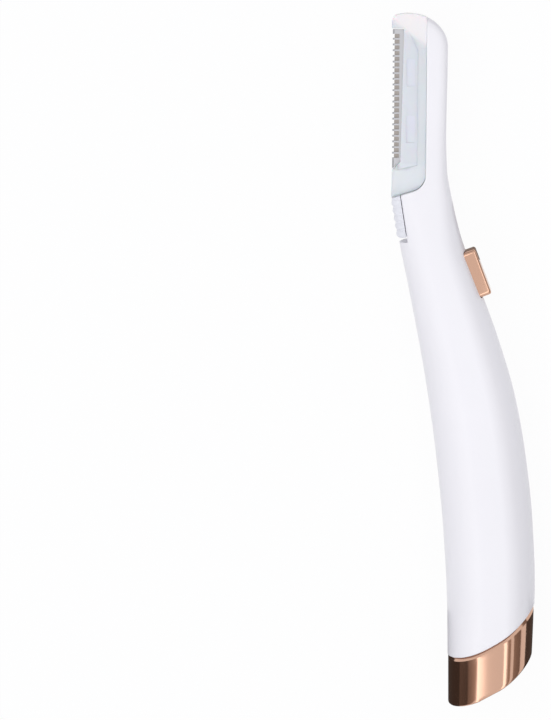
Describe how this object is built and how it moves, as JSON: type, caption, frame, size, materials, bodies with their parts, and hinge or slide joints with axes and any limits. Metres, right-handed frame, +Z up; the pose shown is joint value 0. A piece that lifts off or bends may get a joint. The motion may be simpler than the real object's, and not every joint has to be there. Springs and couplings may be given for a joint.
{
  "type": "lighted dermaplaning tool",
  "caption": "Slim curved face-shaving tool with a straight guarded blade on a clear swap-out cartridge, a thumb release tab, a power button and a pull-off battery cap.",
  "frame": {"origin": "middle of the underside of the tool's bounding box, lying on its side", "axes": "+Y along the tool from the capped foot to the blade's crown, +X from the blade towards the button, +Z up through the tool's thickness"},
  "size_m": [0.035, 0.1656, 0.022],
  "materials": {
    "shell_white": "moulded ABS, softly glossy",
    "tab_white": "moulded ABS, fine texture",
    "rose_gold": "vacuum-plated rose gold on ABS, mirror-like",
    "clear_plastic": "frosted clear polycarbonate",
    "stainless_steel": "cold-rolled strip, ground edge",
    "spring_steel": "drawn wire",
    "nickel_strip": "nickel-plated strip",
    "natural_nylon": "moulded nylon, satin",
    "cell_can": "plain sleeve over a metal can",
    "board_laminate": "solder mask on glass laminate",
    "moulded_epoxy": "moulded, satin",
    "ferrite": "sintered, dull",
    "clear_epoxy": "cast clear, polished",
    "red_insulation": "extruded, satin",
    "black_insulation": "extruded, satin"
  },
  "bodies": {
    "handle": {"housing_left": "shell_white", "housing_right": "shell_white", "battery_tube": "natural_nylon", "battery_cell": "cell_can", "positive_contact": "nickel_strip", "negative_strip": "nickel_strip", "battery_lead_positive": "red_insulation", "battery_lead_negative": "black_insulation", "main_board": "board_laminate", "switch_body": "moulded_epoxy", "boost_inductor": "ferrite", "driver_chip": "moulded_epoxy", "light_pipe": "clear_epoxy", "led": "clear_epoxy", "led_lead_positive": "red_insulation", "led_lead_negative": "black_insulation", "release_spring": "spring_steel"},
    "cap": {"end_cap": "rose_gold", "cap_contact": "nickel_strip", "battery_spring": "spring_steel"},
    "button": {"power_button": "rose_gold", "switch_plunger": "moulded_epoxy"},
    "tab": {"release_tab": "tab_white"},
    "cartridge": {"cartridge_frame": "clear_plastic", "blade": "stainless_steel", "guard_comb": "stainless_steel"}
  },
  "joints": [
    {"name": "button_press", "type": "slide", "parent": "handle", "child": "button", "axis": [-0.9332, -0.3595, 0], "range_m": [0, 0.0006], "stiffness_N_per_m": 300, "springref_m": -0.001},
    {"name": "tab_slide", "type": "slide", "parent": "handle", "child": "tab", "axis": [0.1564, -0.9877, 0], "range_m": [0, 0.0009], "stiffness_N_per_m": 300, "springref_m": -0.001, "deforming": ["release_spring"]},
    {"name": "cartridge_lift", "type": "slide", "parent": "handle", "child": "cartridge", "axis": [-1, 0, 0], "range_m": [0, 0.008]},
    {"name": "cap_pull", "type": "slide", "parent": "handle", "child": "cap", "axis": [0, -1, 0], "range_m": [0, 0.02]}
  ]
}
